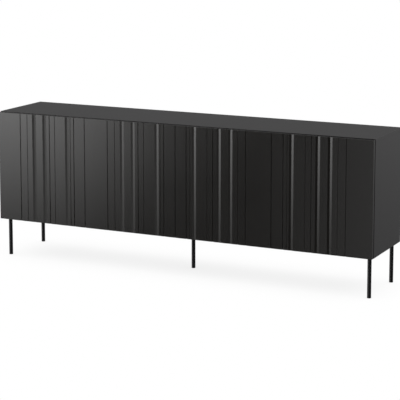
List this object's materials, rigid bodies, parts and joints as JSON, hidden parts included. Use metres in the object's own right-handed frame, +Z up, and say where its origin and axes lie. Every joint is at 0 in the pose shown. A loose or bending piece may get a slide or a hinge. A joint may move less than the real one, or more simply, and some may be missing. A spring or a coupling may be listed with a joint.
{
  "type": "sideboard buffet",
  "caption": "Long low sideboard with hinged push-to-open doors, upright grooved fronts, inner shelves and slim round legs.",
  "frame": {"origin": "on the floor under the middle of the cabinet", "axes": "+X along the width to the right, +Y from the doors to the back, +Z up"},
  "size_m": [2, 0.4, 0.745],
  "materials": {
    "board_lacquer": "satin black lacquer on boards",
    "door_lacquer": "satin black lacquer on grooved fibreboard",
    "back_board": "matt black foil on thin hardboard",
    "leg_steel": "fine-textured black powder coat on steel tube",
    "nickel": "nickel-plated pressed steel",
    "zinc": "dull zinc",
    "black_plastic": "moulded matt black plastic",
    "beech": "plain turned beech"
  },
  "bodies": {
    "carcass": {"top_panel": "board_lacquer", "bottom_panel": "board_lacquer", "side_panel_left": "board_lacquer", "side_panel_right": "board_lacquer", "partition_left": "board_lacquer", "partition_middle": "board_lacquer", "partition_right": "board_lacquer", "back_sheet_left": "back_board", "back_sheet_right": "back_board", "back_nails": "zinc", "shelf_1": "board_lacquer", "shelf_2": "board_lacquer", "shelf_3": "board_lacquer", "shelf_4": "board_lacquer", "shelf_pegs": "nickel", "cam_locks": "zinc", "cam_bolts": "zinc", "dowels": "beech", "leg_front_left": "leg_steel", "leg_front_right": "leg_steel", "leg_back_left": "leg_steel", "leg_back_right": "leg_steel", "leg_centre": "leg_steel", "leg_screws": "leg_steel", "foot_caps": "black_plastic", "hinge_plates": "nickel", "hinge_arms": "nickel", "hinge_screws": "nickel", "latch_housings": "black_plastic", "latch_screws": "zinc"},
    "door_1": {"door_1": "door_lacquer", "hinge_cups_1": "nickel", "cup_screws_1": "nickel", "strike_plate_1": "nickel"},
    "door_2": {"door_2": "door_lacquer", "hinge_cups_2": "nickel", "cup_screws_2": "nickel", "strike_plate_2": "nickel"},
    "door_3": {"door_3": "door_lacquer", "hinge_cups_3": "nickel", "cup_screws_3": "nickel", "strike_plate_3": "nickel"},
    "door_4": {"door_4": "door_lacquer", "hinge_cups_4": "nickel", "cup_screws_4": "nickel", "strike_plate_4": "nickel"},
    "plunger_1": {"plunger_1": "black_plastic"},
    "plunger_2": {"plunger_2": "black_plastic"},
    "plunger_3": {"plunger_3": "black_plastic"},
    "plunger_4": {"plunger_4": "black_plastic"}
  },
  "joints": [
    {"name": "door_1_hinge", "type": "hinge", "parent": "carcass", "child": "door_1", "pos_m": [-0.9925, -0.194, 0.468], "axis": [0, 0, -1], "range_deg": [0, 100]},
    {"name": "door_2_hinge", "type": "hinge", "parent": "carcass", "child": "door_2", "pos_m": [-0.4925, -0.194, 0.468], "axis": [0, 0, -1], "range_deg": [0, 100]},
    {"name": "door_3_hinge", "type": "hinge", "parent": "carcass", "child": "door_3", "pos_m": [0.4925, -0.194, 0.468], "axis": [0, 0, 1], "range_deg": [0, 100]},
    {"name": "door_4_hinge", "type": "hinge", "parent": "carcass", "child": "door_4", "pos_m": [0.9925, -0.194, 0.468], "axis": [0, 0, 1], "range_deg": [0, 100]},
    {"name": "plunger_1_press", "type": "slide", "parent": "carcass", "child": "plunger_1", "axis": [0, 1, 0], "range_m": [0, 0.003], "stiffness_N_per_m": 200, "springref_m": -0.005},
    {"name": "plunger_2_press", "type": "slide", "parent": "carcass", "child": "plunger_2", "axis": [0, 1, 0], "range_m": [0, 0.003], "stiffness_N_per_m": 200, "springref_m": -0.005},
    {"name": "plunger_3_press", "type": "slide", "parent": "carcass", "child": "plunger_3", "axis": [0, 1, 0], "range_m": [0, 0.003], "stiffness_N_per_m": 200, "springref_m": -0.005},
    {"name": "plunger_4_press", "type": "slide", "parent": "carcass", "child": "plunger_4", "axis": [0, 1, 0], "range_m": [0, 0.003], "stiffness_N_per_m": 200, "springref_m": -0.005}
  ]
}
